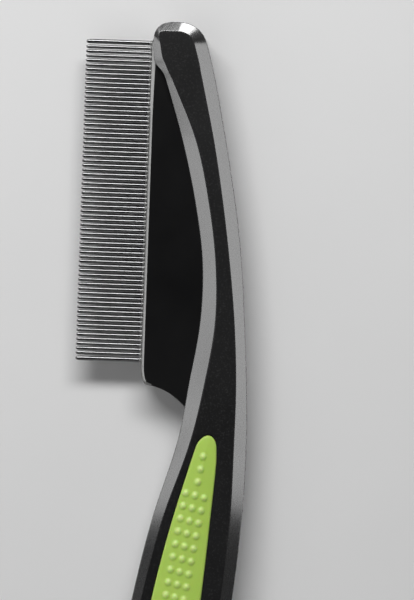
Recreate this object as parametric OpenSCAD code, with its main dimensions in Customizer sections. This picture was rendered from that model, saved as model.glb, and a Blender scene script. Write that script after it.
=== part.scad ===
// Flea comb: a row of fine steel pins in a flat blade, clamped in a two-shell spine and handle
// with soft grip inserts on both faces.
// Millimetres. The comb lies on its back: Y runs along the pin row towards the tip of the spine,
// the pins point to -X, and Z is the thickness, 0 on the back face.

/* [Pins] */
// Diameter of a fine pin
pin_d = 1; // [0.6:0.05:1]
// Distance from one fine pin to the next
pin_pitch = 1.15; // [1.15:0.05:2]
// Diameter of the guard pin at each end of the row
guard_pin_d = 1.2; // [0.9:0.05:1.4]
// Distance from a guard pin to its neighbour
guard_pitch = 1.35; // [1.35:0.05:2]
// Length of the whole row, between the guard pins' axes
row_length = 79.75; // [40:0.05:79.75]
// Length of a pin outside the blade
pin_reach = 16.6; // [8:0.1:20]
// Depth of a pin in the blade
pin_depth = 4.2; // [3:0.1:6]

/* [Blade] */
// Thickness of the blade
blade_t = 5.4; // [5:0.1:6]
// Width of the chamfer along the pin edge of the blade
blade_chamfer = 0.9; // [0.3:0.1:1.2]
// Clearance around the part of the blade that is clamped between the shells
blade_gap = 0.05; // [0.02:0.01:0.2]

/* [Shells] */
// Thickness of the spine and handle, from face to face
body_t = 11; // [10.5:0.1:12]
// Wall thickness of the hollow handle
wall = 2.4; // [1.8:0.1:3]
// Diameter of the posts that join the shells
post_d = 3.6; // [2.5:0.1:4]
// Clearance on diameter between a post and its socket
post_gap = 0.1; // [0.05:0.05:0.3]
// Diameter of the hang hole near the butt
hang_hole_d = 6; // [4:0.5:8]

/* [Grips] */
// Depth of the recess that a grip sits in
recess_depth = 1.4; // [1:0.1:1.8]
// Gap around a grip in its recess
grip_gap = 0.1; // [0.05:0.05:0.3]
// Height of the front grip above the front face, without its bumps
grip_proud = 0.5; // [0:0.1:1]
// Height of a grip bump
bump_h = 0.45; // [0.3:0.05:0.6]
// Diameter of a grip bump where it meets the grip
bump_d = 1.7; // [1.2:0.1:2]
// Distance between rows of bumps, along the handle
bump_row_pitch = 3.2; // [2.8:0.1:5]
// Distance between the bumps of one row
bump_pitch = 2.35; // [2.2:0.05:2.6]

/* [Hidden] */
$fn = 48;

// Outline of the spine and handle, from the butt to the tip.
// Each row: Y, left edge of the side band, left edge of the flat face,
// right edge of the flat face, right edge of the side band.
body_rows = [
    [-158, -5.2, -2.7, 10.9, 13.6],
    [-140, -5.5, -3.1, 14.8, 17.5],
    [-120, -3.9, -1.5, 18.8, 21.5],
    [-100, -0.6, 1.7, 21.7, 24.5],
    [-80, 3.7, 6.3, 23.3, 26.3],
    [-60, 9.5, 12.7, 23.7, 26.9],
    [-45, 11.9, 15.9, 23.7, 26.4],
    [-30, 14.1, 18.0, 22.8, 25.4],
    [-15, 14.2, 17.6, 21.1, 24.2],
    [0, 11.9, 15.4, 18.9, 22.1],
    [15, 8.3, 11.8, 16.2, 19.3],
    [30, 3.7, 5.4, 12.8, 16.2],
    [32.5, 2.6, 4.1, 12.2, 15.6],
    [34.5, 0.8, 3.2, 11.8, 15.1],
    [36, 0.3, 2.5, 11.4, 14.7],
    [39.5, 0.1, 1.8, 10.4, 13.7]
];
band_left = 1;
face_left = 2;
face_right = 3;
band_right = 4;

// Outline of a grip, from the butt end to the head end. Each row: Y, left edge, right edge.
grip_rows = [
    [-138, 1.4, 10.8],
    [-125, 1.3, 13.6],
    [-110, 2.6, 15.6],
    [-95, 5.3, 17.2],
    [-80, 8.8, 18.4],
    [-65, 13.0, 19.5],
    [-61, 14.2, 19.4]
];

// Rounded ends of the outlines: height of each superellipse, and its exponents left and right.
band_tip = [5.6, 2.6, 2.4];
face_tip = [3.2, 6, 2.6];
band_butt = [12, 2.2, 2.2];
face_butt = [9, 2.3, 2.3];
grip_top = [2.9, 2, 2];
grip_end = [10, 2, 2];
cap_steps = 8;
cap_end_angle = 85;
edge_step = 3;

// Slope of the bevels along the body: flat in the handle, steep in the spine, flat again around
// the tip. Each row: Y and the slope there.
bevel_slopes = [[-88, 0.5], [-62, 0.83], [39, 0.83], [41.5, 0.4]];

// Levels along Z.
parting_z = body_t / 2;
blade_top = parting_z + blade_t / 2;
blade_bottom = parting_z - blade_t / 2;
recess_floor = body_t - recess_depth;
recess_floor_t = 1.8;
cavity_top = recess_floor - recess_floor_t;
skin_front = body_t + grip_proud;
skin_back = bump_h;

// Blade: its pin edge, its corners and its lower edge, which runs under the handle.
blade_edge_x = -0.3;
blade_tip_r = 4;
blade_tip_y = 39.3;
blade_corner = [1.5, 4.8];
blade_corner_y = -41.2;
blade_foot = [[4.3, -46.9], [7.8, -48.5], [10.4, -50.4], [12.6, -53], [16, -55], [20, -54]];
tongue_inset = 3.2;
tongue_tip_y = 38;
tongue_foot_y = -50;
// The seat of the blade grows by the clearance away from this place.
seat_middle = [6, 0];

// How far a cutter reaches past the faces that it opens.
over = 1;

// Pins.
count_slack = 0.001;
fine_count = floor((row_length - 2 * guard_pitch) / pin_pitch + count_slack) + 1;
fine_first_y = -(fine_count - 1) * pin_pitch / 2;
guard_y = fine_first_y - guard_pitch;
bank_size = 4;
bank_count = ceil(fine_count / bank_size);
hole_gap = 0.02;

// Posts and sockets: four through the blade, three in the handle.
head_posts = [[8, 32], [15.6, 8], [20, -28], [20, -47]];
handle_posts = [[16.6, -65], [10.4, -98], [5.4, -132]];
boss_wall = 1.7;
head_socket = 1.3;
handle_socket = 2.4;
socket_floor_gap = 0.2;

// Hollow of the handle.
cavity_from = -150;
cavity_to = -60;
lip_h = 1;
lip_t = 0.8;
lip_gap = 0.1;

// Studs that hold a grip in its recess.
stud_d = 3;
stud_head_d = 4.4;
stud_head_h = 1;
studs_y = [-72, -85, -110, -122];

// Bumps: single ones at the head end, then rows of three.
single_bumps = 3;
first_bump_y = -63.4;
first_row_y = -73.2;
last_row_y = -136.5;
row_tilt = -13;
bump_shift = -0.4;
bump_root = 0.2;

hang_hole = [3.2, -161];

// The comb's reach in plan, which puts the origin at the middle of its underside.
tip_y = body_rows[len(body_rows) - 1][0] + band_tip[0];
butt_y = body_rows[0][0] - band_butt[0];
left_x = blade_edge_x - pin_reach;
right_x = max([for (r = body_rows) r[band_right]]);
origin = [(left_x + right_x) / 2, (butt_y + tip_y) / 2, 0];

function two_digits(n) = n < 10 ? str("0", n) : str(n);
pin_nodes = [for (i = [1 : bank_count]) str("pins_", two_digits(i))];

// ---- Curves ----

// Slope of one column of an outline table at row i.
function row_slope(rows, col, i) =
    let (a = max(i - 1, 0), b = min(i + 1, len(rows) - 1))
    (rows[b][col] - rows[a][col]) / (rows[b][0] - rows[a][0]);

// Last row that starts at or below y.
function row_index(rows, y) =
    max([for (i = [0 : len(rows) - 2]) rows[i][0] <= y ? i : 0]);

// Smooth edge through the rows of an outline table.
function edge_x(rows, col, y) =
    let (
        i = row_index(rows, y),
        h = rows[i + 1][0] - rows[i][0],
        t = (y - rows[i][0]) / h
    )
    (2 * t^3 - 3 * t^2 + 1) * rows[i][col]
    + (t^3 - 2 * t^2 + t) * h * row_slope(rows, col, i)
    + (3 * t^2 - 2 * t^3) * rows[i + 1][col]
    + (t^3 - t^2) * h * row_slope(rows, col, i + 1);

// One rung joins the left and right edges of an outline at one place along it.
function edge_rung(rows, left, right, y) =
    [[edge_x(rows, left, y), y], [edge_x(rows, right, y), y]];

// Reach of a superellipse at one angle, as a share of its half width.
function cap_reach(power, a) = (1 - sin(a)^power)^(1 / power);

// A rung of a rounded end, at an angle of 0 to cap_end_angle. side is 1 at the tip, -1 at the butt.
function cap_rung(rows, left, right, cap, side, a) =
    let (
        last = side > 0 ? len(rows) - 1 : 0,
        rise = cap[0] * sin(a) / sin(cap_end_angle) * side,
        lean_l = row_slope(rows, left, last),
        lean_r = row_slope(rows, right, last),
        middle = (rows[last][left] + rows[last][right]) / 2 + rise * (lean_l + lean_r) / 2,
        half = (rows[last][right] - rows[last][left]) / 2 + rise * (lean_r - lean_l) / 2,
        y = rows[last][0] + rise
    )
    [[middle - half * cap_reach(cap[1], a), y], [middle + half * cap_reach(cap[2], a), y]];

// All rungs of an outline, from the butt to the tip.
function outline_rungs(rows, left, right, butt, tip) =
    let (
        y0 = rows[0][0],
        y1 = rows[len(rows) - 1][0],
        steps = round((y1 - y0) / edge_step),
        turn = cap_end_angle / cap_steps
    )
    concat(
        [for (k = [cap_steps : -1 : 1]) cap_rung(rows, left, right, butt, -1, turn * k)],
        [for (k = [0 : steps]) edge_rung(rows, left, right, y0 + (y1 - y0) * k / steps)],
        [for (k = [1 : cap_steps]) cap_rung(rows, left, right, tip, 1, turn * k)]
    );

// Closed polygon of a list of rungs, moved in by inset on both sides.
function rung_polygon(rungs, inset = 0) =
    concat(
        [for (r = rungs) r[1] - [inset, 0]],
        [for (k = [len(rungs) - 1 : -1 : 0]) rungs[k][0] + [inset, 0]]
    );

band_rungs = outline_rungs(body_rows, band_left, band_right, band_butt, band_tip);
face_rungs = outline_rungs(body_rows, face_left, face_right, face_butt, face_tip);
grip_rungs = outline_rungs(grip_rows, 1, 2, grip_end, grip_top);
handle_rungs = [for (r = band_rungs) if (r[0][1] >= cavity_from && r[0][1] <= cavity_to) r];
tongue_rungs = [for (r = band_rungs) if (r[0][1] >= tongue_foot_y && r[0][1] <= tongue_tip_y) r];

band_outline = rung_polygon(band_rungs);
face_outline = rung_polygon(face_rungs);

// Level where a bevel starts, which depends on the width of the band. It is never under the
// blade's face.
function bevel_foot(band, face) =
    max(body_t - lookup(band[1], bevel_slopes) * norm(face - band), blade_top);

// Blade outline: pin edge, rounded tip, edge inside the spine, foot, rounded heel corner.
blade_outline = concat(
    [for (a = [180 : -15 : 75])
        [blade_edge_x + blade_tip_r * (1 + cos(a)), blade_tip_y + blade_tip_r * sin(a)]],
    [for (k = [len(tongue_rungs) - 1 : -1 : 0]) tongue_rungs[k][1] - [tongue_inset, 0]],
    [for (k = [len(blade_foot) - 1 : -1 : 0]) blade_foot[k]],
    [for (a = [90 : -15 : 0])
        [blade_edge_x + blade_corner[0] * (1 - cos(a)), blade_corner_y - blade_corner[1] * sin(a)]]
);

// ---- Shared shapes ----

// Closed ring of points at one level.
function ring_at(outline, z) = [for (p = outline) [p[0], p[1], z]];

// Solid that joins rings of equal point count, from the lowest to the highest. The first and
// last ring are flat, and each is a polygon of rungs.
module loft(rings) {
    count = len(rings[0]);
    top = count * (len(rings) - 1);
    lid = [for (i = [0 : count / 2 - 2]) each [
        [i, i + 1, count - 1 - i],
        [i + 1, count - 2 - i, count - 1 - i]
    ]];
    walls = [for (k = [0 : len(rings) - 2]) each [for (i = [0 : count - 1])
        let (a = k * count + i, b = k * count + (i + 1) % count)
        each [[a, a + count, b], [b, a + count, b + count]]]];
    polyhedron([for (r = rings) each r], concat(
        lid,
        [for (f = lid) [f[0] + top, f[2] + top, f[1] + top]],
        walls
    ));
}

// Prism of a polygon between two levels.
module slab(outline, z0, z1) {
    translate([0, 0, z0]) linear_extrude(z1 - z0) polygon(outline);
}

module rod(place, d, z0, z1) {
    translate([place[0], place[1], z0]) cylinder(d = d, h = z1 - z0);
}

// Half of the body, from the parting plane to the front face.
module half_body() {
    foot = [for (i = [0 : len(band_outline) - 1])
        [band_outline[i][0], band_outline[i][1], bevel_foot(band_outline[i], face_outline[i])]];
    loft([ring_at(band_outline, parting_z), foot, ring_at(face_outline, body_t)]);
}

// Turns a front shape into the matching back shape.
module to_back() {
    translate([0, 0, body_t]) mirror([0, 0, 1]) children();
}

module to_origin() {
    translate(-origin) children();
}

// Room for the blade, a clearance wider than it on every side, and open towards the pins.
module blade_seat() {
    seat = [for (p = blade_outline)
        p + blade_gap * [sign(p[0] - seat_middle[0]), sign(p[1] - seat_middle[1])]];
    slab(seat, blade_bottom, blade_top);
}

module hang_bore() {
    rod(hang_hole, hang_hole_d, -over, body_t + over);
}

// A half body without its hollow, its blade seat, its grip recess and the hang hole.
module empty_half() {
    difference() {
        half_body();
        blade_seat();
        slab(rung_polygon(handle_rungs, wall), parting_z - over, cavity_top);
        slab(rung_polygon(grip_rungs, -grip_gap), recess_floor, body_t + over);
        for (y = studs_y) rod(stud_place(y), stud_d, cavity_top - over, recess_floor + over);
        hang_bore();
    }
}

// ---- Shells ----

// Front shell: posts point down through the blade and into the sockets of the back shell.
module front_shell() {
    color([0.13, 0.13, 0.14]) to_origin() {
        empty_half();
        for (p = head_posts) rod(p, post_d, blade_bottom - head_socket, blade_top);
        for (p = handle_posts) {
            rod(p, post_d + 2 * boss_wall, parting_z, cavity_top);
            rod(p, post_d, parting_z - handle_socket, parting_z);
        }
        lip();
    }
}

// Thin rim inside the handle wall that drops into the rebate of the back shell.
module lip() {
    difference() {
        slab(rung_polygon(handle_rungs, wall - lip_t), parting_z - lip_h, parting_z);
        slab(rung_polygon(handle_rungs, wall), parting_z - lip_h - over, parting_z + over);
    }
}

// Bore that takes a post whose end is at level z.
module socket(place, z) {
    rod(place, post_d + post_gap, z - socket_floor_gap, parting_z + over);
}

module back_shell() {
    color([0.11, 0.11, 0.12]) to_origin() difference() {
        union() {
            to_back() empty_half();
            for (p = handle_posts)
                rod(p, post_d + 2 * boss_wall, body_t - cavity_top, parting_z);
        }
        for (p = head_posts) socket(p, blade_bottom - head_socket);
        for (p = handle_posts) socket(p, parting_z - handle_socket);
        rebate = rung_polygon(handle_rungs, wall - lip_t - lip_gap);
        slab(rebate, parting_z - lip_h - lip_gap, parting_z + over);
    }
}

// ---- Blade ----

module head_plate() {
    color([0.08, 0.08, 0.09]) to_origin() difference() {
        slab(blade_outline, blade_bottom, blade_top);
        edge_chamfer();
        to_back() edge_chamfer();
        for (p = head_posts) rod(p, post_d + post_gap, 0, body_t);
        for (i = [0 : fine_count - 1]) pin_bore(fine_first_y + i * pin_pitch, pin_d);
        for (y = [guard_y, -guard_y]) pin_bore(y, guard_pin_d);
    }
}

// Triangular cut along the pin edge of the blade.
module edge_chamfer() {
    reach = blade_chamfer + over;
    translate([blade_edge_x, blade_corner_y, blade_top]) rotate([-90, 0, 0])
        linear_extrude(blade_tip_y - blade_corner_y)
            polygon([[-over, -over], [reach, -over], [-over, reach]]);
}

module pin_bore(y, d) {
    translate([blade_edge_x - over, y, parting_z]) rotate([0, 90, 0])
        cylinder(d = d + 2 * hole_gap, h = pin_depth + over);
}

// ---- Pins ----

// A straight pin with a ball-rounded tip.
module pin(y, d) {
    length = pin_reach + pin_depth - d / 2;
    translate([blade_edge_x + pin_depth, y, parting_z]) rotate([0, -90, 0]) {
        cylinder(d = d, h = length);
        translate([0, 0, length]) sphere(d = d);
    }
}

// Up to bank_size neighbouring fine pins, counted from the heel of the comb.
module pin_bank(bank) {
    first = bank * bank_size;
    last = min(first + bank_size, fine_count) - 1;
    color([0.78, 0.79, 0.8]) to_origin()
        for (i = [first : last]) pin(fine_first_y + i * pin_pitch, pin_d);
}

module guard_pin_tip() {
    color([0.85, 0.86, 0.87]) to_origin() pin(-guard_y, guard_pin_d);
}

module guard_pin_heel() {
    color([0.85, 0.86, 0.87]) to_origin() pin(guard_y, guard_pin_d);
}

// ---- Grips ----

// Middle of a grip at one place along it.
function grip_middle(y) = (edge_x(grip_rows, 1, y) + edge_x(grip_rows, 2, y)) / 2;
function stud_place(y) = [grip_middle(y), y];

row_count = floor((first_row_y - last_row_y) / bump_row_pitch) + 1;
row_step = bump_pitch * [cos(row_tilt), sin(row_tilt)];
function bump_row_middle(y) = [grip_middle(y) + bump_shift, y];
bump_places = concat(
    [for (k = [0 : single_bumps - 1]) bump_row_middle(first_bump_y - k * bump_row_pitch)],
    [for (k = [0 : row_count - 1]) each
        [for (j = [-1 : 1]) bump_row_middle(first_row_y - k * bump_row_pitch) + j * row_step]]
);

// Low dome of a bump, with its root just under the skin.
module bump() {
    bump_r = (bump_d^2 / 4 + bump_h^2) / (2 * bump_h);
    rotate_extrude() intersection() {
        translate([0, bump_h - bump_r]) circle(r = bump_r);
        translate([0, -bump_root]) square([bump_r, bump_h + bump_root]);
    }
}

// Grip body with its studs and bumps. skin is the level of its face.
module grip(skin) {
    slab(rung_polygon(grip_rungs), recess_floor, skin);
    for (y = studs_y) {
        rod(stud_place(y), stud_d, cavity_top, recess_floor);
        rod(stud_place(y), stud_head_d, cavity_top - stud_head_h, cavity_top);
    }
    for (p = bump_places) translate([p[0], p[1], skin]) bump();
}

module front_grip() {
    color([0.68, 0.8, 0.42]) to_origin() grip(skin_front);
}

module back_grip() {
    color([0.66, 0.78, 0.4]) to_origin() to_back() grip(body_t - skin_back);
}

front_shell();
back_shell();
head_plate();
for (i = [0 : bank_count - 1]) pin_bank(i);
guard_pin_tip();
guard_pin_heel();
front_grip();
back_grip();
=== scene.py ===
import math
import random

import bpy
import numpy as np
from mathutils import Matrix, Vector
from mathutils.geometry import tessellate_polygon


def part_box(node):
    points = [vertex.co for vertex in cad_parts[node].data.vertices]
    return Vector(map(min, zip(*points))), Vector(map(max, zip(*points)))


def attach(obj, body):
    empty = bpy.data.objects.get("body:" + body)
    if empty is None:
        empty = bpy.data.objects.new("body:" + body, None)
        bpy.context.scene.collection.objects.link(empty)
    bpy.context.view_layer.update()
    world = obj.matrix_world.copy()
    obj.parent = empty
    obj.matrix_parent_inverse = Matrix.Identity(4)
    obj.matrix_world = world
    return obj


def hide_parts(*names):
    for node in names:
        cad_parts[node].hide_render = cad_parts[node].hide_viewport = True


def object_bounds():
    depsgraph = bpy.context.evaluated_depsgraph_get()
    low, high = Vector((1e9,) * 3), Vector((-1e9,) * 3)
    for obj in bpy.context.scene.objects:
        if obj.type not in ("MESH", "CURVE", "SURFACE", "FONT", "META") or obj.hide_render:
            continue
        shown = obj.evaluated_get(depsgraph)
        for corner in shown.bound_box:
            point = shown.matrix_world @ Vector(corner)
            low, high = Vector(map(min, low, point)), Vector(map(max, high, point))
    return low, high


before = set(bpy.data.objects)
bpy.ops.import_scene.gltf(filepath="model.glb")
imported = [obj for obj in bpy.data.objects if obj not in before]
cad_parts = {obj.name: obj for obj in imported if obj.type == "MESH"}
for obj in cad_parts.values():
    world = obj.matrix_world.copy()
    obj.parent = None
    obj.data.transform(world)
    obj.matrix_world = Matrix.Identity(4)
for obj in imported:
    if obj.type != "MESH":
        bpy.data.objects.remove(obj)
cad_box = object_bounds()
random.seed(7)

MM = 0.001

# ---------------------------------------------------------------- the comb's own measures, in mm
# Outline of the spine and handle from the butt to the tip: Y, then the left and right edges
# of the side band and of the flat face.
BAND_ROWS = [
    (-158, -5.2, 13.6), (-140, -5.5, 17.5), (-120, -3.9, 21.5), (-100, -0.6, 24.5),
    (-80, 3.7, 26.3), (-60, 9.5, 26.9), (-45, 11.9, 26.4), (-30, 14.1, 25.4), (-15, 14.2, 24.2),
    (0, 11.9, 22.1), (15, 8.3, 19.3), (30, 3.7, 16.2), (32.5, 2.6, 15.6), (34.5, 0.8, 15.1),
    (36, 0.3, 14.7), (39.5, 0.1, 13.7),
]
FACE_ROWS = [
    (-158, -2.7, 10.9), (-140, -3.1, 14.8), (-120, -1.5, 18.8), (-100, 1.7, 21.7), (-80, 6.3, 23.3),
    (-60, 12.7, 23.7), (-45, 15.9, 23.7), (-30, 18.0, 22.8), (-15, 17.6, 21.1), (0, 15.4, 18.9),
    (15, 11.8, 16.2), (30, 5.4, 12.8), (32.5, 4.1, 12.2), (34.5, 3.2, 11.8), (36, 2.5, 11.4),
    (39.5, 1.8, 10.4),
]
GRIP_ROWS = [
    (-138, 1.4, 10.8), (-125, 1.3, 13.6), (-110, 2.6, 15.6), (-95, 5.3, 17.2), (-80, 8.8, 18.4),
    (-65, 13.0, 19.5), (-61, 14.2, 19.4),
]
# Rounded ends: height of each superellipse, and its exponents on the left and right.
BAND_TIP, FACE_TIP = (5.6, 2.6, 2.4), (3.2, 6, 2.6)
BAND_BUTT, FACE_BUTT = (12, 2.2, 2.2), (9, 2.3, 2.3)
GRIP_TOP, GRIP_END = (2.9, 2, 2), (10, 2, 2)
CAP_END = math.radians(85)
CAP_STEPS, BODY_STEP = 24, 0.5

BLADE_EDGE_X = -0.3
BLADE_TIP_R, BLADE_TIP_Y = 4, 39.3
BLADE_CORNER, BLADE_CORNER_Y = (1.5, 4.8), -41.2
BLADE_FOOT = ((1.2, -46.0), (5.5, -46.6), (8.5, -48.2), (12.6, -53.0))
BLADE_ROOT = [(16, -55), (20, -54)]
TONGUE_INSET, TONGUE_Y = 3.2, (-50, 38)
SEAT_GAP = 0.05

# Nominal width of the bevels, and the rounding where they meet the side and the face.
BEVEL_W = 3.3
FOOT_R, SHOULDER_R = 0.6, 0.45
# Slope of the bevels along the body: places in Y and the slopes there.
SLOPE_Y, SLOPES = (-88, -62, 39, 41.5), (0.5, 0.83, 0.83, 0.40)
# Groove along the parting line: its depth, its half width at the side, and half of what stays open.
SEAM_DEPTH, SEAM_LIFT, SEAM_OPEN = 0.12, 0.14, 0.005
HANG_HOLE, HANG_R, HANG_EDGE = (3.2, -161.0), 3.0, 0.4
RECESS_DEPTH, RECESS_GAP, RECESS_EDGE = 1.4, 0.12, 0.18

PIN_SIDES, PIN_WANDER = 28, 0.012
COLLAR_WALL, COLLAR_SIDES = 0.07, 20

GRIP_PROUD, GRIP_HALF_W = 0.5, 6.0
BUMP_H, BUMP_R, BUMP_SPREAD = 0.45, 0.85, 1.35
SINGLE_BUMPS, FIRST_BUMP_Y = 3, -63.4
FIRST_ROW_Y, LAST_ROW_Y, ROW_PITCH = -73.2, -136.5, 3.2
BUMP_PITCH, ROW_TILT, BUMP_SHIFT = 2.35, math.radians(-13), -0.4

# ---------------------------------------------------------------- places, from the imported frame
plate_lo, plate_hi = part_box("head_plate")
tip_pin_lo, tip_pin_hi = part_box("guard_pin_tip")
heel_pin_lo, heel_pin_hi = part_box("guard_pin_heel")
shell_lo, shell_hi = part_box("front_shell")
back_lo, back_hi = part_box("back_shell")

ROW_Y = (tip_pin_lo.y + tip_pin_hi.y + heel_pin_lo.y + heel_pin_hi.y) / 4 / MM
EDGE_X = plate_lo.x / MM - BLADE_EDGE_X
BLADE_TOP = plate_hi.z / MM
BODY_T = shell_hi.z / MM
PARTING = BODY_T / 2


def place(x, y, z):
    """A point of the comb, in mm from the middle of the pin row, as a point of the frame."""
    return ((x + EDGE_X) * MM, (y + ROW_Y) * MM, z * MM)


# ---------------------------------------------------------------- curves
def row_slope(rows, col, i):
    a, b = max(i - 1, 0), min(i + 1, len(rows) - 1)
    return (rows[b][col] - rows[a][col]) / (rows[b][0] - rows[a][0])


def edge_x(rows, col, y):
    """Smooth edge through the rows of an outline table."""
    i = max([k for k in range(len(rows) - 1) if rows[k][0] <= y], default=0)
    h = rows[i + 1][0] - rows[i][0]
    t = (y - rows[i][0]) / h
    return (
        (2 * t**3 - 3 * t**2 + 1) * rows[i][col]
        + (t**3 - 2 * t**2 + t) * h * row_slope(rows, col, i)
        + (3 * t**2 - 2 * t**3) * rows[i + 1][col]
        + (t**3 - t**2) * h * row_slope(rows, col, i + 1)
    )


def cap_rung(rows, cap, side, angle):
    """A rung of a rounded end. side is 1 at the tip and -1 at the butt."""
    height, *powers = cap
    last = len(rows) - 1 if side > 0 else 0
    y0, left, right = rows[last]
    rise = height * side * math.sin(angle) / math.sin(CAP_END)
    reach_l, reach_r = ((1 - math.sin(angle) ** p) ** (1 / p) for p in powers)
    lean_l, lean_r = row_slope(rows, 1, last), row_slope(rows, 2, last)
    middle = (left + right) / 2 + rise * (lean_l + lean_r) / 2
    half = (right - left) / 2 + rise * (lean_r - lean_l) / 2
    return [(middle - half * reach_l, y0 + rise), (middle + half * reach_r, y0 + rise)]


def outline_rungs(rows, butt, tip, step, cap_steps):
    """Pairs of left and right points along an outline, from the butt to the tip."""
    y0, y1 = rows[0][0], rows[-1][0]
    steps = round((y1 - y0) / step)
    angles = [CAP_END * k / cap_steps for k in range(1, cap_steps + 1)]
    rungs = [cap_rung(rows, butt, -1, a) for a in reversed(angles)]
    for k in range(steps + 1):
        y = y0 + (y1 - y0) * k / steps
        rungs.append([(edge_x(rows, 1, y), y), (edge_x(rows, 2, y), y)])
    return rungs + [cap_rung(rows, tip, 1, a) for a in angles]


def loop_of(rungs):
    """Closed counterclockwise loop of a list of rungs."""
    return np.array([r[1] for r in rungs] + [r[0] for r in reversed(rungs)])


def offset_loop(loop, distance):
    """The loop moved outwards by a distance, or inwards if it is negative."""
    ahead, behind = np.roll(loop, -1, 0) - loop, loop - np.roll(loop, 1, 0)
    ahead /= np.linalg.norm(ahead, axis=1)[:, None]
    behind /= np.linalg.norm(behind, axis=1)[:, None]
    tangent = ahead + behind
    tangent /= np.linalg.norm(tangent, axis=1)[:, None]
    normal = np.stack([tangent[:, 1], -tangent[:, 0]], 1)
    spread = np.clip((tangent * ahead).sum(1), 0.5, 1)
    return loop + normal * (distance / spread)[:, None]


def circle_loop(centre, radius, count=64):
    angles = np.linspace(0, 2 * math.pi, count, endpoint=False)
    return np.stack([centre[0] + radius * np.cos(angles), centre[1] + radius * np.sin(angles)], 1)


def fillet(corner, before, after, radius, steps=4):
    """Points of a rounded corner in a profile, between two neighbouring profile points."""
    corner, before, after = map(np.array, (corner, before, after))
    d0 = (before - corner) / np.linalg.norm(before - corner)
    d1 = (after - corner) / np.linalg.norm(after - corner)
    turn = math.pi - math.acos(float(np.clip(d0 @ d1, -1, 1)))
    reach = radius * math.tan(turn / 2)
    p0, p2 = corner + d0 * reach, corner + d1 * reach
    return [
        tuple((1 - t) ** 2 * p0 + 2 * t * (1 - t) * corner + t * t * p2)
        for t in np.linspace(0, 1, steps + 1)
    ]


# ---------------------------------------------------------------- meshes
class Build:
    """Collects rings, walls and fills of one piece, then makes its object."""

    def __init__(self):
        self.points, self.faces, self.slots = [], [], []

    def ring(self, loop, z):
        """Adds a ring of points and returns their numbers. z is a level or one level per point."""
        start = len(self.points)
        levels = np.broadcast_to(z, (len(loop),))
        self.points += [place(x, y, h) for (x, y), h in zip(loop, levels)]
        return list(range(start, start + len(loop)))

    def wall(self, lower, upper, slot=0):
        """Quads between two rings of equal count. slot is one number, or one for each quad."""
        n = len(lower)
        slots = np.broadcast_to(slot, (n,))
        for i in range(n):
            j = (i + 1) % n
            self.faces.append((lower[i], lower[j], upper[j], upper[i]))
            self.slots.append(int(slots[i]))

    def walls(self, rings, slot=0):
        for lower, upper in zip(rings, rings[1:]):
            self.wall(lower, upper, slot)

    def fill(self, outer, holes=(), up=True, slot=0):
        """Flat triangles inside a ring, around any holes."""
        loops = [outer, *holes]
        flat = [i for ring in loops for i in ring]
        triangles = tessellate_polygon([[Vector(self.points[i]) for i in ring] for ring in loops])
        for t in triangles:
            a, b, c = (Vector(self.points[flat[i]]) for i in t)
            cross = (b - a).cross(c - a).z
            if abs(cross) < 1e-16:
                continue
            order = t if (cross > 0) == up else tuple(reversed(t))
            self.faces.append(tuple(flat[i] for i in order))
            self.slots.append(slot)

    def make(self, name, materials, sharp_angle=40):
        mesh = bpy.data.meshes.new(name)
        mesh.from_pydata(self.points, [], self.faces)
        for m in materials:
            mesh.materials.append(m)
        mesh.polygons.foreach_set("material_index", self.slots)
        piece = bpy.data.objects.new(name, mesh)
        bpy.context.scene.collection.objects.link(piece)
        soften(piece, sharp_angle)
        return piece


def soften(piece, sharp_angle):
    """Smooth shading that keeps flat faces flat and real edges sharp."""
    mesh = piece.data
    mesh.polygons.foreach_set("use_smooth", [True] * len(mesh.polygons))
    mesh.set_sharp_from_angle(angle=math.radians(sharp_angle))
    mesh.update()


def weigh_normals(piece):
    weigh = piece.modifiers.new("weigh", "WEIGHTED_NORMAL")
    weigh.keep_sharp = True
    weigh.weight = 80


def prism(loop, z0, z1):
    """A closed prism used as a cutter."""
    b = Build()
    low, high = b.ring(loop, z0), b.ring(loop, z1)
    b.wall(low, high)
    b.fill(low, up=False)
    b.fill(high)
    return b.make("cutter", [])


def cut(piece, cutter):
    """Takes the cutter away from the piece, and leaves plain mesh."""
    boolean = piece.modifiers.new("cut", "BOOLEAN")
    boolean.object = cutter
    boolean.operation = "DIFFERENCE"
    boolean.solver = "EXACT"
    bpy.context.view_layer.update()
    evaluated = piece.evaluated_get(bpy.context.evaluated_depsgraph_get())
    mesh = bpy.data.meshes.new_from_object(evaluated)
    piece.modifiers.clear()
    old = piece.data
    piece.data = mesh
    bpy.data.meshes.remove(old)
    cutter_mesh = cutter.data
    bpy.data.objects.remove(cutter)
    bpy.data.meshes.remove(cutter_mesh)


def mirror_through(piece, level):
    """Turns a front piece into the matching back piece, mirrored in a level plane."""
    for v in piece.data.vertices:
        v.co.z = 2 * level * MM - v.co.z
    piece.data.flip_normals()
    piece.data.update()


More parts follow.
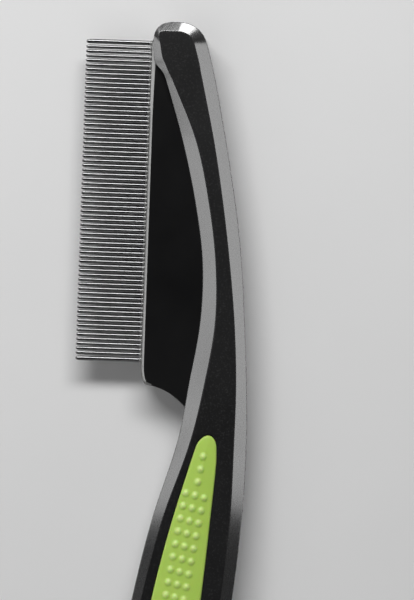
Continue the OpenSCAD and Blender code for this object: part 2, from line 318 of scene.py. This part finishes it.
# ---------------------------------------------------------------- materials
class Shader:
    """A node material with one Principled shader."""

    def __init__(self, name, **settings):
        self.material = bpy.data.materials.new(name)
        self.material.use_nodes = True
        self.tree = self.material.node_tree
        self.bsdf = self.tree.nodes["Principled BSDF"]
        for socket, value in settings.items():
            self.bsdf.inputs[socket.replace("_", " ")].default_value = value
        self.coord = self.node("ShaderNodeTexCoord").outputs["Object"]

    def node(self, kind, **settings):
        made = self.tree.nodes.new(kind)
        for key, value in settings.items():
            setattr(made, key, value)
        return made

    def link(self, source, target):
        self.tree.links.new(source, target)

    def noise(self, scale, detail=3.0, stretch=None):
        """Noise over the comb's own coordinates. scale is in features per metre."""
        made = self.node("ShaderNodeTexNoise")
        made.inputs["Scale"].default_value = scale
        made.inputs["Detail"].default_value = detail
        made.inputs["Roughness"].default_value = 0.55
        vector = self.coord
        if stretch:
            mapping = self.node("ShaderNodeMapping")
            mapping.inputs["Scale"].default_value = stretch
            self.link(vector, mapping.inputs["Vector"])
            vector = mapping.outputs["Vector"]
        self.link(vector, made.inputs["Vector"])
        return made.outputs["Fac"]

    def ramp(self, value, low, high, out_low, out_high):
        """Maps a value from low..high to out_low..out_high, clamped."""
        made = self.node("ShaderNodeMapRange")
        made.inputs["From Min"].default_value = low
        made.inputs["From Max"].default_value = high
        made.inputs["To Min"].default_value = out_low
        made.inputs["To Max"].default_value = out_high
        self.link(value, made.inputs["Value"])
        return made.outputs["Result"]

    def mix(self, factor, colour_a, colour_b):
        """Mixes two colours, each either a tuple or another node's output."""
        made = self.node("ShaderNodeMix", data_type="RGBA")
        socket_a, socket_b = [s for s in made.inputs if s.type == "RGBA"]
        for socket, colour in ((socket_a, colour_a), (socket_b, colour_b)):
            if isinstance(colour, tuple):
                socket.default_value = (*colour, 1)
            else:
                self.link(colour, socket)
        self.link(factor, made.inputs["Factor"])
        return next(s for s in made.outputs if s.type == "RGBA")

    def bump(self, height, strength, distance):
        made = self.node("ShaderNodeBump")
        made.inputs["Strength"].default_value = strength
        made.inputs["Distance"].default_value = distance
        self.link(height, made.inputs["Height"])
        return made.outputs["Normal"]

    def use(self, output, socket):
        self.link(output, self.bsdf.inputs[socket])


def grained_plastic():
    """Black moulded plastic with a fine spark-eroded grain."""
    s = Shader("shell_grain", Roughness=0.5, IOR=1.5)
    s.bsdf.inputs["Specular IOR Level"].default_value = 0.33
    grain = s.noise(5200, 2.0)
    patch = s.noise(60, 3.0)
    speck = s.ramp(s.noise(2600, 1.0), 0.56, 0.72, 0, 1)
    base = s.mix(patch, (0.0025, 0.0025, 0.0028), (0.004, 0.004, 0.0044))
    s.use(s.mix(speck, base, (0.018, 0.018, 0.0185)), "Base Color")
    s.use(s.ramp(patch, 0.3, 0.7, 0.46, 0.56), "Roughness")
    s.use(s.bump(grain, 0.5, 0.00005), "Normal")
    return s.material


def polished_plastic_and_painted_light():
    """The same plastic, polished on the bevels and sides, with a base colour several times lighter
    than the grained faces: painted light on the sloped sides.
    """
    s = Shader("shell_polish_and_painted_light", Roughness=0.25, IOR=1.5)
    s.bsdf.inputs["Coat Weight"].default_value = 1.0
    s.bsdf.inputs["Coat IOR"].default_value = 1.8
    s.bsdf.inputs["Coat Roughness"].default_value = 0.18
    patch = s.noise(45, 3.0)
    rub = s.noise(1100, 3.0, stretch=(1, 0.5, 1))
    # Base colour lighter than the grained faces of the same plastic: painted light on the bevels and
    # sides.
    s.use(s.mix(patch, (0.022, 0.022, 0.0225), (0.03, 0.03, 0.0305)), "Base Color")
    s.use(s.ramp(rub, 0.3, 0.7, 0.255, 0.285), "Roughness")
    s.use(s.bump(s.noise(700, 2.0), 0.02, 0.00005), "Normal")
    return s.material


def blade_plastic():
    """Satin black plastic of the blade, with a finer grain than the shells."""
    s = Shader("blade_satin", Roughness=0.42, IOR=1.5)
    s.bsdf.inputs["Specular IOR Level"].default_value = 0.3
    patch = s.noise(50, 3.0)
    s.use(s.mix(patch, (0.0022, 0.0022, 0.0025), (0.0035, 0.0035, 0.0038)), "Base Color")
    s.use(s.ramp(patch, 0.3, 0.7, 0.34, 0.42), "Roughness")
    s.use(s.bump(s.noise(9000, 1.0), 0.18, 0.00003), "Normal")
    return s.material


def pin_edge_painted_glint():
    """Glossy material for the chamfer along the pin edge of the blade and the collars round the pins;
    its pale grey colour is a painted glint.
    """
    s = Shader("pin_edge_painted_glint", Roughness=0.12, IOR=1.5)
    s.bsdf.inputs["Coat Weight"].default_value = 1.0
    s.bsdf.inputs["Coat Roughness"].default_value = 0.06
    patch = s.noise(800, 2.0)
    # Pale grey base: painted glint along the pin edge and on the collars.
    s.use(s.mix(patch, (0.2, 0.2, 0.196), (0.27, 0.27, 0.265)), "Base Color")
    s.use(s.ramp(patch, 0.3, 0.7, 0.1, 0.16), "Roughness")
    s.use(s.bump(patch, 0.1, 0.00003), "Normal")
    return s.material


def pin_steel():
    """Drawn steel wire, with faint drawing lines along the pin. Its base colour, well below bare
    steel, is painted shade that keeps the pins dark between their highlights.
    """
    s = Shader("pin_steel", Metallic=1.0, Roughness=0.2)
    lines = s.noise(5000, 2.0, stretch=(0.04, 1, 1))
    # Dark base colour, well below bare steel: painted shade between the highlights.
    s.use(s.mix(s.noise(300, 2.0), (0.2, 0.2, 0.203), (0.26, 0.26, 0.264)), "Base Color")
    s.use(s.ramp(lines, 0.3, 0.7, 0.12, 0.17), "Roughness")
    s.use(s.bump(lines, 0.04, 0.00001), "Normal")
    return s.material


def grip_rubber():
    """Lime green soft-touch rubber, with a paler painted highlight on the bump tops."""
    s = Shader("grip_rubber", Roughness=0.5, IOR=1.5)
    s.bsdf.inputs["Specular IOR Level"].default_value = 0.7
    s.bsdf.inputs["Subsurface Weight"].default_value = 0.5
    s.bsdf.inputs["Subsurface Radius"].default_value = (0.6, 1.0, 0.25)
    s.bsdf.inputs["Subsurface Scale"].default_value = 0.0012
    s.bsdf.inputs["Sheen Weight"].default_value = 0.15
    s.bsdf.inputs["Sheen Roughness"].default_value = 0.4
    patch = s.noise(70, 3.0)
    lift = s.node("ShaderNodeAttribute", attribute_name="bump_lift").outputs["Fac"]
    skin = s.mix(patch, (0.45, 0.67, 0.095), (0.5, 0.72, 0.125))
    # Paler colour where the bumps rise, by the bump height share: a painted highlight on the bump
    # tops.
    s.use(s.mix(s.ramp(lift, 0.12, 0.6, 0, 0.5), skin, (0.72, 0.88, 0.34)), "Base Color")
    s.use(s.ramp(s.noise(1500, 2.0), 0.3, 0.7, 0.44, 0.56), "Roughness")
    s.use(s.bump(s.noise(6500, 1.0), 0.12, 0.00003), "Normal")
    return s.material


def floor_paper():
    s = Shader("floor_paper", Roughness=0.6)
    s.use(s.mix(s.noise(30, 3.0), (0.78, 0.78, 0.78), (0.81, 0.81, 0.81)), "Base Color")
    return s.material


GRAIN, POLISH_AND_PAINTED_LIGHT, BLADE = grained_plastic(), polished_plastic_and_painted_light(), blade_plastic()
STEEL, PAINTED_GLINT, RUBBER = pin_steel(), pin_edge_painted_glint(), grip_rubber()

# ---------------------------------------------------------------- the shells
band_loop = loop_of(outline_rungs(BAND_ROWS, BAND_BUTT, BAND_TIP, BODY_STEP, CAP_STEPS))
face_loop = loop_of(outline_rungs(FACE_ROWS, FACE_BUTT, FACE_TIP, BODY_STEP, CAP_STEPS))
grip_loop = loop_of(outline_rungs(GRIP_ROWS, GRIP_END, GRIP_TOP, BODY_STEP, CAP_STEPS))


def bezier(points, t):
    p0, p1, p2, p3 = (np.array(p) for p in points)
    return (1 - t) ** 3 * p0 + 3 * t * (1 - t) ** 2 * p1 + 3 * t * t * (1 - t) * p2 + t**3 * p3


def blade_loop():
    """Outline of the blade, counterclockwise, from the heel corner."""
    points = []
    for a in np.linspace(0, math.pi / 2, 13)[:-1]:
        points.append((
            BLADE_EDGE_X + BLADE_CORNER[0] * (1 - math.cos(a)),
            BLADE_CORNER_Y - BLADE_CORNER[1] * math.sin(a),
        ))
    points += [tuple(bezier(BLADE_FOOT, t)) for t in np.linspace(0, 1, 20)]
    points += BLADE_ROOT
    for y in np.linspace(*TONGUE_Y, 40):
        points.append((edge_x(BAND_ROWS, 2, y) - TONGUE_INSET, y))
    for a in np.linspace(math.radians(75), math.pi, 16):
        points.append((
            BLADE_EDGE_X + BLADE_TIP_R * (1 + math.cos(a)),
            BLADE_TIP_Y + BLADE_TIP_R * math.sin(a),
        ))
    points += [(BLADE_EDGE_X, y) for y in np.linspace(39, -41, 81)]
    return np.array(points)


def bevel_foot():
    """Level where the bevel starts at each point, which depends on the width of the band."""
    gap = np.linalg.norm(face_loop - band_loop, axis=1)
    slope = np.interp(band_loop[:, 1], SLOPE_Y, SLOPES)
    return np.maximum(BODY_T - slope * gap, BLADE_TOP)


def stretch_level(z, foot):
    """Moves a level of the nominal section to where it lies for each point's own bevel foot."""
    if z <= BLADE_TOP:
        return PARTING + (z - PARTING) * (foot - PARTING) / (BLADE_TOP - PARTING)
    return foot + (z - BLADE_TOP) * (BODY_T - foot) / (BODY_T - BLADE_TOP)


def section():
    """Nominal section of a front shell's side: how far in from the outline, and the level."""
    foot, shoulder = (0, BLADE_TOP), (BEVEL_W, BODY_T)
    return [
        (SEAM_DEPTH, PARTING + SEAM_OPEN),
        (SEAM_DEPTH * 0.3, PARTING + SEAM_LIFT * 0.5),
        (0, PARTING + SEAM_LIFT),
        *fillet(foot, (0, PARTING), shoulder, FOOT_R),
        *fillet(shoulder, foot, (2 * BEVEL_W, BODY_T), SHOULDER_R),
    ]


def rounded_rims(b, loop_at, edge, steps):
    """Rings that round the rim of an opening in the face. loop_at(s) is its loop grown by s."""
    return [
        b.ring(loop_at(edge * (1 - math.sin(a))), BODY_T - edge * (1 - math.cos(a)))
        for a in np.linspace(0, math.pi / 2, steps)
    ]


def body_shell(name):
    """Front half of the spine and handle, with rounded creases, the grip recess and the hang hole."""
    b = Build()
    feet = bevel_foot()
    rings = [
        b.ring(band_loop + (face_loop - band_loop) * (s / BEVEL_W), stretch_level(z, feet))
        for s, z in section()
    ]
    b.walls(rings, 1)

    recess = rounded_rims(b, lambda s: offset_loop(grip_loop, RECESS_GAP + s), RECESS_EDGE, 4)
    recess.append(b.ring(offset_loop(grip_loop, RECESS_GAP), BODY_T - RECESS_DEPTH))
    b.walls(recess)
    b.fill(recess[-1])

    bore = rounded_rims(b, lambda s: circle_loop(HANG_HOLE, HANG_R + s), HANG_EDGE, 5)
    bore.append(b.ring(circle_loop(HANG_HOLE, HANG_R), PARTING + SEAM_OPEN))
    b.walls(bore, 1)

    b.fill(rings[-1], [recess[0], bore[0]])
    b.fill(rings[0], [bore[-1]], up=False, slot=1)
    piece = b.make(name, [GRAIN, POLISH_AND_PAINTED_LIGHT])

    cut(piece, prism(offset_loop(blade_loop(), SEAT_GAP), PARTING - 1, BLADE_TOP))
    soften(piece, 40)
    return piece


def shells():
    front = body_shell("front_shell_look")
    back = body_shell("back_shell_look")
    mirror_through(back, PARTING)
    for piece, node in ((front, "front_shell"), (back, "back_shell")):
        weigh_normals(piece)
        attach(piece, "root")
        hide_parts(node)


# ---------------------------------------------------------------- the blade
PIN_NODES = sorted(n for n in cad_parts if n.startswith(("pins_", "guard_pin_")))
BANK_SIZE = 4


def pins_of(node):
    """Middle (in frame Y) and radius of each pin of a node, in metres."""
    lo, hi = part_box(node)
    radius = (hi.z - lo.z) / 2
    count = 1 if node.startswith("guard") else BANK_SIZE
    return [(y, radius) for y in np.linspace(lo.y + radius, hi.y - radius, count)]


def pin_places():
    """Y and radius of every pin, in mm of the comb."""
    return [(y / MM - ROW_Y, r / MM) for node in PIN_NODES for y, r in pins_of(node)]


def add_collar(b, y, radius):
    """A small collar where a pin enters the blade, in the pale material: a painted glint."""
    angles = np.linspace(0, 2 * math.pi, COLLAR_SIDES, endpoint=False)
    profile = [(0.2, COLLAR_WALL), (-0.15, COLLAR_WALL), (-0.32, COLLAR_WALL - 0.01),
               (-0.45, COLLAR_WALL - 0.04), (-0.52, 0.0), (-0.54, -0.03)]
    rings = []
    for out, wall in profile:
        loop = [(BLADE_EDGE_X + out, y + (radius + wall) * math.cos(a)) for a in angles]
        rings.append(b.ring(loop, PARTING + (radius + wall) * np.sin(angles)))
    b.walls(rings, 1)


def blade():
    """The blade: wide chamfers along the pin edge, in the pale material as a painted glint, and small
    ones elsewhere.
    """
    loop = blade_loop()
    half = BLADE_TOP - PARTING
    # How much each point belongs to the pin edge, and to the last stretch before the tip.
    on_edge = np.clip((3.0 - loop[:, 0]) / 2.0, 0, 1)
    towards_tip = np.clip((loop[:, 1] - 22) / 12, 0, 1)
    width = 0.35 + (0.5 + 0.3 * towards_tip) * on_edge
    drop = 0.35 + 0.4 * on_edge
    b = Build()

    def ring(side, inward, down):
        return b.ring(offset_loop(loop, -inward * width), PARTING + side * (half - down * drop))

    # Shares of the chamfer's width and drop at each ring. The long step is the chamfer itself.
    rounds = [(0.0, 1.15), (0.04, 0.96), (0.1, 0.85), (0.85, 0.1), (0.96, 0.03), (1.15, 0.0)]
    rings = [ring(-1, *r) for r in reversed(rounds)] + [ring(1, *r) for r in rounds]
    # The pin-edge chamfer quads take the pale material: a painted glint.
    painted_glint_quads = np.where(on_edge > 0.5, 1, 0)
    chamfers = (2, len(rings) - 4)
    for k, (lower, upper) in enumerate(zip(rings, rings[1:])):
        b.wall(lower, upper, painted_glint_quads if k in chamfers else 0)
    b.fill(rings[0], up=False)
    b.fill(rings[-1])
    for y, radius in pin_places():
        add_collar(b, y, radius)
    piece = b.make("head_plate_look", [BLADE, PAINTED_GLINT])
    weigh_normals(piece)
    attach(piece, "root")
    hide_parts("head_plate")


# ---------------------------------------------------------------- the pins
def add_pin(points, faces, root, tip_x, radius):
    """A straight wire from its root to a rounded, slightly tapered tip. Lengths in metres."""
    length = root[0] - tip_x
    wander = random.uniform(-PIN_WANDER, PIN_WANDER) * MM
    # Rings of the wire: distance from the root and radius.
    rings = [(0.0, radius), (length * 0.5, radius), (length - radius * 2.6, radius)]
    for a in np.linspace(0, math.pi / 2, 8)[1:-1]:
        rings.append((length - radius * 2.2 * (1 - math.sin(a)), radius * math.cos(a) ** 0.8))
    start = len(points)
    points.append(root)
    for along, r in rings:
        x, y = root[0] - along, root[1] + wander * (along / length) ** 2
        for k in range(PIN_SIDES):
            a = 2 * math.pi * k / PIN_SIDES
            points.append((x, y + r * math.cos(a), root[2] + r * math.sin(a)))
    points.append((tip_x, root[1] + wander, root[2]))
    first, end = start + 1, start + 1 + (len(rings) - 1) * PIN_SIDES
    for k in range(PIN_SIDES):
        j = (k + 1) % PIN_SIDES
        faces.append((start, first + j, first + k))
        for low in range(first, end, PIN_SIDES):
            high = low + PIN_SIDES
            faces.append((low + k, low + j, high + j, high + k))
        faces.append((end + k, end + j, end + PIN_SIDES))


def pins():
    """Every pin node again, with drawn-wire tips that wander a few hundredths of a millimetre."""
    for node in PIN_NODES:
        lo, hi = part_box(node)
        points, faces = [], []
        for y, radius in pins_of(node):
            add_pin(points, faces, (hi.x, y, (lo.z + hi.z) / 2), lo.x, radius)
        mesh = bpy.data.meshes.new(node)
        mesh.from_pydata(points, [], faces)
        mesh.materials.append(STEEL)
        piece = bpy.data.objects.new(node + "_look", mesh)
        bpy.context.scene.collection.objects.link(piece)
        soften(piece, 50)
        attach(piece, "root")
        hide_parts(node)


# ---------------------------------------------------------------- the grips
def grip_middle(y):
    return (edge_x(GRIP_ROWS, 1, y) + edge_x(GRIP_ROWS, 2, y)) / 2


def bump_places():
    """Single bumps at the head end, then rows of three across the grip."""
    step_x, step_y = BUMP_PITCH * math.cos(ROW_TILT), BUMP_PITCH * math.sin(ROW_TILT)
    singles = [FIRST_BUMP_Y - k * ROW_PITCH for k in range(SINGLE_BUMPS)]
    rows = np.arange(FIRST_ROW_Y, LAST_ROW_Y, -ROW_PITCH)
    places = [(grip_middle(y) + BUMP_SHIFT, y) for y in singles]
    places += [
        (grip_middle(y) + BUMP_SHIFT + j * step_x, y + j * step_y) for y in rows for j in (-1, 0, 1)
    ]
    return np.array(places)


def rim_distance(points, rim):
    """Distance from each point to the nearest point of the rim, in batches that fit in memory."""
    depth = np.empty(len(points))
    batch = 2000
    for k in range(0, len(points), batch):
        gaps = np.linalg.norm(points[k:k + batch, None] - rim[None], axis=2)
        depth[k:k + batch] = gaps.min(1)
    return depth


def bump_lift(points):
    """Share of a full bump's height at each point."""
    lift = np.zeros(len(points))
    for x, y in bump_places():
        d = np.hypot(points[:, 0] - x, points[:, 1] - y) / (BUMP_R * BUMP_SPREAD)
        lift += 0.5 + 0.5 * np.cos(np.pi * np.clip(d, 0, 1))
    return lift


def grip(name, proud, crown, edge_r):
    """A grip insert: rounded rim, slightly crowned skin, and soft domes."""
    step, cap_steps, across = 0.2, 30, 64
    rungs = outline_rungs(GRIP_ROWS, GRIP_END, GRIP_TOP, step, cap_steps)
    rim = loop_of(outline_rungs(GRIP_ROWS, GRIP_END, GRIP_TOP, step, 2 * cap_steps))
    left, right = (np.array([r[side] for r in rungs]) for side in (0, 1))
    # Columns across the grip, closer together at its rims.
    t = np.linspace(-1, 1, across + 1)
    t = np.sign(t) * (1 - (1 - np.abs(t)) ** 1.25)
    x = left[:, :1] + (right[:, :1] - left[:, :1]) * (t + 1) / 2
    y = np.repeat(left[:, 1:], across + 1, 1)
    flat = np.stack([x.ravel(), y.ravel()], 1)

    depth, lift = rim_distance(flat, rim), bump_lift(flat)
    near = np.clip(depth / edge_r, 0, 1)
    z = BODY_T + proud - edge_r * (1 - np.sqrt(1 - (1 - near) ** 2))
    z -= crown * (1 - np.clip(depth / GRIP_HALF_W, 0, 1)) ** 2
    z += BUMP_H * lift ** 0.75

    b = Build()
    rows, cols = len(rungs), across + 1
    b.points = [place(px, py, pz) for (px, py), pz in zip(flat, z)]
    for i in range(rows - 1):
        for j in range(cols - 1):
            a = i * cols + j
            b.faces.append((a, a + 1, a + cols + 1, a + cols))
            b.slots.append(0)
    border = list(range(cols))
    border += [i * cols + cols - 1 for i in range(1, rows)]
    border += [(rows - 1) * cols + j for j in range(cols - 2, -1, -1)]
    border += [i * cols for i in range(rows - 2, 0, -1)]
    floor_ring = b.ring(flat[border], BODY_T - RECESS_DEPTH)
    b.wall(floor_ring, border)
    b.fill(floor_ring, up=False)
    piece = b.make(name, [RUBBER], 60)
    # The bump height share is kept on the mesh for grip_rubber, which paints a highlight on the bump
    # tops with it.
    height = piece.data.attributes.new("bump_lift", "FLOAT", "POINT")
    height.data.foreach_set("value", np.append(lift, np.zeros(len(floor_ring))))
    return piece


def grips():
    front = grip("front_grip_look", GRIP_PROUD, 0.4, 0.45)
    back = grip("back_grip_look", -BUMP_H, 0.1, 0.3)
    mirror_through(back, PARTING)
    for piece, node in ((front, "front_grip"), (back, "back_grip")):
        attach(piece, "root")
        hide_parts(node)


# ---------------------------------------------------------------- camera, floor and light
CAMERA_LENS = 200.0
SENSOR_MM = 36.0
VIEW_HEIGHT_MM = 150.0
VIEW_CENTRE = (15.73, -24.22)
VIEW_ROLL = math.radians(2.0)


def camera():
    data = bpy.data.cameras.new("camera")
    data.lens = CAMERA_LENS
    data.sensor_width = SENSOR_MM
    piece = bpy.data.objects.new("camera", data)
    distance = CAMERA_LENS / SENSOR_MM * VIEW_HEIGHT_MM
    piece.location = place(*VIEW_CENTRE, BODY_T + distance)
    piece.rotation_euler = (0, 0, VIEW_ROLL)
    bpy.context.scene.collection.objects.link(piece)
    bpy.context.scene.camera = piece


def floor():
    mesh = bpy.data.meshes.new("floor")
    half, z = 3.0, cad_box[0].z
    corners = [(-half, -half, z), (half, -half, z), (half, half, z), (-half, half, z)]
    mesh.from_pydata(corners, [], [(0, 1, 2, 3)])
    mesh.materials.append(floor_paper())
    piece = bpy.data.objects.new("floor", mesh)
    bpy.context.scene.collection.objects.link(piece)


def softbox(name, offset, size, radiance, diffuse=True, gloss=True):
    """A square-on area light at an offset in metres from the middle of the comb."""
    centre = Vector(place(12, -10, 5))
    data = bpy.data.lights.new(name, "AREA")
    data.shape = "RECTANGLE"
    data.size, data.size_y = size
    data.energy = radiance * math.pi * size[0] * size[1]
    piece = bpy.data.objects.new(name, data)
    piece.location = centre + Vector(offset)
    piece.rotation_euler = (-Vector(offset)).to_track_quat("-Z", "Y").to_euler()
    piece.visible_camera = False
    piece.visible_diffuse = diffuse
    piece.visible_glossy = gloss
    bpy.context.scene.collection.objects.link(piece)


def world_light():
    """Dim grey room light: darkest straight above, lighter towards the horizon."""
    world = bpy.data.worlds.new("studio")
    bpy.context.scene.world = world
    world.use_nodes = True
    tree = world.node_tree
    coord = tree.nodes.new("ShaderNodeTexCoord")
    split = tree.nodes.new("ShaderNodeSeparateXYZ")
    height = tree.nodes.new("ShaderNodeMapRange")
    height.inputs["From Min"].default_value = 0.0
    height.inputs["From Max"].default_value = 0.9
    height.inputs["To Min"].default_value = 0.08
    height.inputs["To Max"].default_value = 0.03
    tree.links.new(coord.outputs["Generated"], split.inputs["Vector"])
    tree.links.new(split.outputs["Z"], height.inputs["Value"])
    tree.nodes["Background"].inputs["Color"].default_value = (1, 1, 1, 1)
    tree.links.new(height.outputs["Result"], tree.nodes["Background"].inputs["Strength"])


def lights():
    """A strip key towards +Y, a weak fill from -Y, and a low softbox on each side."""
    softbox("key", (-0.1, 0.62, 0.6), (1.0, 0.2), 13)
    softbox("fill", (0.1, -0.7, 0.55), (0.8, 0.12), 1.2)
    softbox("low_fill", (-0.45, -0.35, 0.6), (0.9, 0.9), 0.6, gloss=False)
    softbox("left_wall", (-0.5, -0.06, 0.14), (0.5, 0.19), 2.2, diffuse=False)
    softbox("corner_wall", (-0.34, 0.42, 0.13), (0.46, 0.19), 2.4, diffuse=False)
    softbox("right_wall", (0.5, 0.1, 0.12), (0.46, 0.22), 2.3, diffuse=False)


camera()
floor()
world_light()
lights()
shells()
blade()
pins()
grips()

bpy.context.scene.view_settings.view_transform = "Standard"
